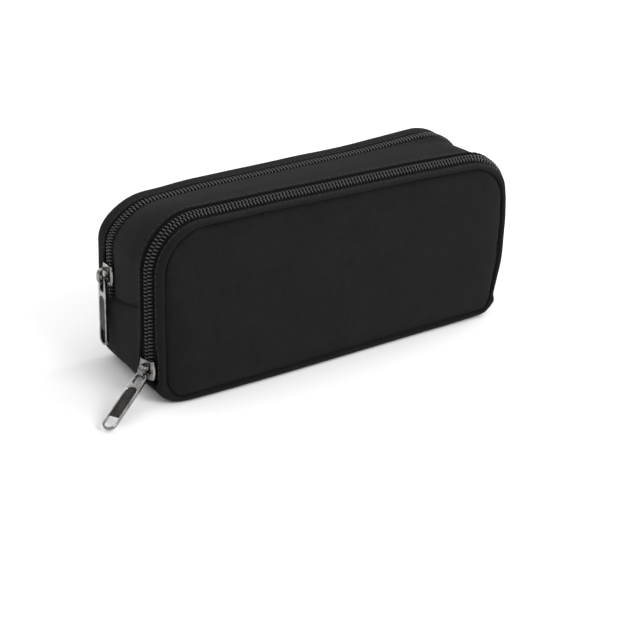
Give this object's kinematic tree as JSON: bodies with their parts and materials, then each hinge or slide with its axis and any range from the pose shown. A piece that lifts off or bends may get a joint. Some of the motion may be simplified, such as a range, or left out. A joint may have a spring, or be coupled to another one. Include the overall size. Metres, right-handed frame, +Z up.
{
  "type": "pencil case",
  "caption": "Soft rectangular pencil case with a front pocket and a main compartment, each closed by a coil zipper with a metal slider and a long pull",
  "frame": {"origin": "middle of the flat base, on the surface that the case stands on", "axes": "+X along the case, away from the end where the sliders are parked; -Y is the front pocket's side; +Z up"},
  "size_m": [0.2369, 0.0693, 0.0887],
  "materials": {
    "outer_fabric": "matte",
    "foam": "matte",
    "lining": "matte",
    "zipper_tape": "matte",
    "zipper_coil": "satin",
    "slider_metal": "satin",
    "pull_metal": "polished"
  },
  "bodies": {
    "case_body": {"back_panel_lower": "outer_fabric", "back_panel_lower_foam": "foam", "back_panel_lower_lining": "lining", "base_gusset": "outer_fabric", "base_gusset_foam": "foam", "base_gusset_lining": "lining", "divider": "lining", "front_band_lower": "outer_fabric", "front_zipper_case_coil": "zipper_coil", "front_zipper_case_tape": "zipper_tape", "front_zipper_flap_coil_left_end": "zipper_coil", "front_zipper_flap_coil_right_end": "zipper_coil", "front_zipper_flap_tape_left_end": "zipper_tape", "front_zipper_flap_tape_right_end": "zipper_tape", "mid_gusset": "outer_fabric", "mid_gusset_foam": "foam", "mid_gusset_lining": "lining", "rear_band_left_end": "outer_fabric", "rear_band_right_end": "outer_fabric", "rear_zipper_case_coil": "zipper_coil", "rear_zipper_case_tape": "zipper_tape", "rear_zipper_flap_coil_left_end": "zipper_coil", "rear_zipper_flap_coil_right_end": "zipper_coil", "rear_zipper_flap_tape_left_end": "zipper_tape", "rear_zipper_flap_tape_right_end": "zipper_tape"},
    "front_flap": {"front_panel": "outer_fabric", "front_panel_foam": "foam", "front_pocket_lining": "lining", "front_band": "outer_fabric", "front_zipper_flap_tape": "zipper_tape", "front_zipper_flap_coil": "zipper_coil"},
    "main_flap": {"back_panel_upper": "outer_fabric", "back_panel_upper_foam": "foam", "back_panel_upper_lining": "lining", "rear_band": "outer_fabric", "rear_zipper_flap_tape": "zipper_tape", "rear_zipper_flap_coil": "zipper_coil"},
    "front_slider": {"front_slider_body": "slider_metal", "front_slider_bridge": "slider_metal"},
    "rear_slider": {"rear_slider_body": "slider_metal", "rear_slider_bridge": "slider_metal"},
    "front_puller": {"front_pull": "pull_metal"},
    "rear_puller": {"rear_pull": "pull_metal"}
  },
  "joints": [
    {"name": "front_flap_fold", "type": "hinge", "parent": "case_body", "child": "front_flap", "pos_m": [0, -0.0285, 0.00515], "axis": [1, 0, 0], "range_deg": [0, 93]},
    {"name": "main_flap_fold", "type": "hinge", "parent": "case_body", "child": "main_flap", "pos_m": [0, 0.0285, 0.037], "axis": [-1, 0, 0], "range_deg": [0, 90]},
    {"name": "front_slider_travel", "type": "slide", "parent": "case_body", "child": "front_slider", "axis": [0, 0, 1], "range_m": [0, 0.041]},
    {"name": "rear_slider_travel", "type": "slide", "parent": "case_body", "child": "rear_slider", "axis": [0, 0, 1], "range_m": [-0.0065, 0.0078]},
    {"name": "front_pull_swing", "type": "hinge", "parent": "front_slider", "child": "front_puller", "pos_m": [-0.10514, -0.02217, 0.0141], "axis": [-0.515, 0.8572, 0], "range_deg": [0, 100]},
    {"name": "rear_pull_swing", "type": "hinge", "parent": "rear_slider", "child": "rear_puller", "pos_m": [-0.1058, 0.016, 0.0476], "axis": [0, 1, 0], "range_deg": [0, 165]}
  ]
}
